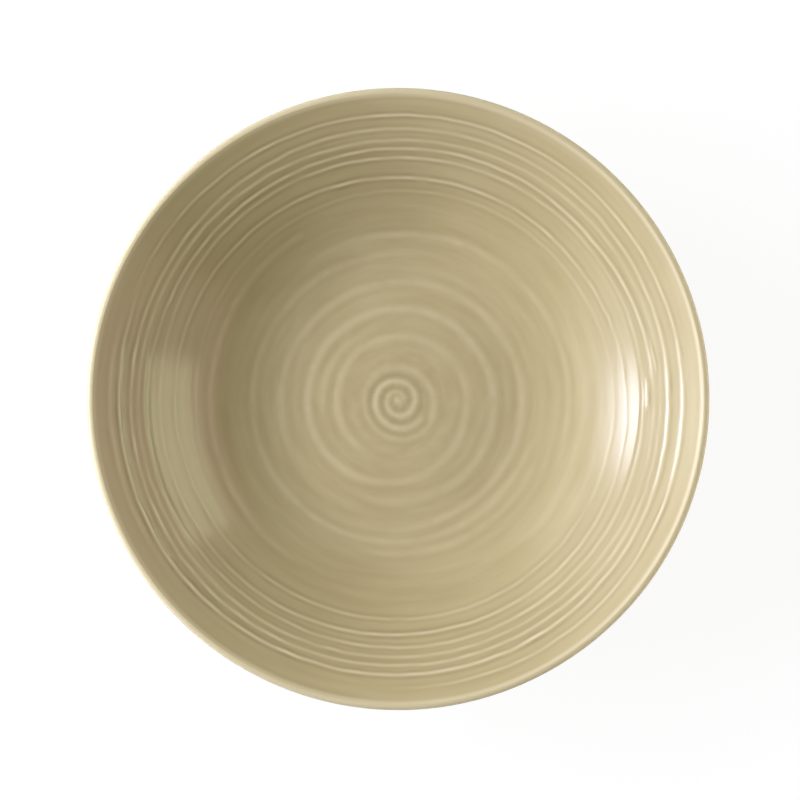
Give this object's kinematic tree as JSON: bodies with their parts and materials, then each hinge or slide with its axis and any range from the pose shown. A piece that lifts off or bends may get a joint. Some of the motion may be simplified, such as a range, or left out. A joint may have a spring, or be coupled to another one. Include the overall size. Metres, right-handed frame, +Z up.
{
  "type": "soup plate",
  "caption": "Round glazed stoneware soup plate with a flared wall, full-round lip, turned foot ring and a spiral of finger ridges in the well, for serving soup.",
  "frame": {"origin": "centre of the plane that the foot ring stands on", "axes": "+Z up along the plate's axis, out of the well; the plate is round, +X is the picture's right and +Y its top"},
  "size_m": [0.21, 0.21, 0.044],
  "materials": {
    "glaze": "gloss",
    "bare_clay": "matte"
  },
  "bodies": {
    "root": {"clay_body": "bare_clay", "glaze_coat": "glaze", "base_glaze": "glaze"}
  },
  "joints": []
}
